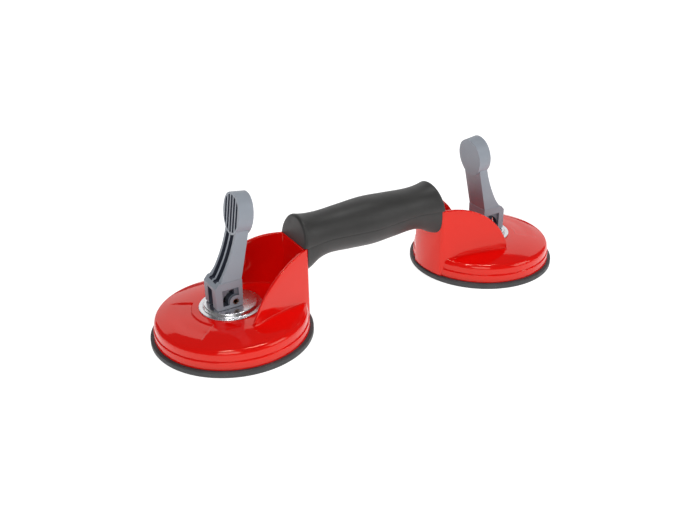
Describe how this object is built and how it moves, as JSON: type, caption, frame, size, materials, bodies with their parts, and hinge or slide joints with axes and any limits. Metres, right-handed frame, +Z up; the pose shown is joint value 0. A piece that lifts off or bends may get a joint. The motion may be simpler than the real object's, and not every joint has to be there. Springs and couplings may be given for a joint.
{
  "type": "vacuum suction lifter",
  "caption": "Carrying handle joining round vacuum suction heads, each with a folding lever that lifts the middle of a rubber pad.",
  "frame": {"origin": "midway between the two heads' axes, on the plane under the pads", "axes": "+X from the left head to the right head along the grip, +Z up, away from the surface it grips"},
  "size_m": [0.3546, 0.12, 0.1111],
  "materials": {
    "red_paint": "glossy powder coat over a die-cast housing",
    "pad_rubber": "matte moulded rubber",
    "zinc_steel": "zinc plated",
    "bush_plastic": "natural acetal",
    "chrome_plate": "polished bright plating",
    "lever_plastic": "satin moulded blue-grey",
    "pin_steel": "plain rolled spring steel",
    "grip_plastic": "fine-textured charcoal, soft touch"
  },
  "bodies": {
    "frame": {"left_housing": "red_paint", "left_suction_pad": "pad_rubber", "left_return_spring": "zinc_steel", "left_guide_bush": "bush_plastic", "left_cover_washer": "chrome_plate", "right_housing": "red_paint", "right_suction_pad": "pad_rubber", "right_return_spring": "zinc_steel", "right_guide_bush": "bush_plastic", "right_cover_washer": "chrome_plate", "grip_upper_shell": "grip_plastic", "grip_lower_shell": "grip_plastic", "core_bar": "zinc_steel", "core_screws": "zinc_steel", "core_nuts": "zinc_steel", "grip_screws": "zinc_steel"},
    "left_stud": {"left_pull_stud": "zinc_steel", "left_pad_plate": "zinc_steel"},
    "left_lever_arm": {"left_lever": "lever_plastic", "left_pivot_pin": "pin_steel"},
    "right_stud": {"right_pull_stud": "zinc_steel", "right_pad_plate": "zinc_steel"},
    "right_lever_arm": {"right_lever": "lever_plastic", "right_pivot_pin": "pin_steel"}
  },
  "joints": [
    {"name": "left_stud_lift", "type": "slide", "parent": "frame", "child": "left_stud", "axis": [0, 0, 1], "range_m": [0, 0.0112], "deforming": ["left_return_spring", "left_suction_pad"]},
    {"name": "left_lever_fold", "type": "hinge", "parent": "left_stud", "child": "left_lever_arm", "pos_m": [-0.11735, 0, 0.0315], "axis": [0, -1, 0], "range_deg": [0, 80]},
    {"name": "right_stud_lift", "type": "slide", "parent": "frame", "child": "right_stud", "axis": [0, 0, 1], "range_m": [0, 0.0112], "deforming": ["right_return_spring", "right_suction_pad"]},
    {"name": "right_lever_fold", "type": "hinge", "parent": "right_stud", "child": "right_lever_arm", "pos_m": [0.11735, 0, 0.0315], "axis": [0, 1, 0], "range_deg": [0, 80]}
  ],
  "couplings": [
    {"joint": "left_stud_lift", "follows": "left_lever_fold", "m_per_rad": 0.008},
    {"joint": "right_stud_lift", "follows": "right_lever_fold", "m_per_rad": 0.008}
  ]
}
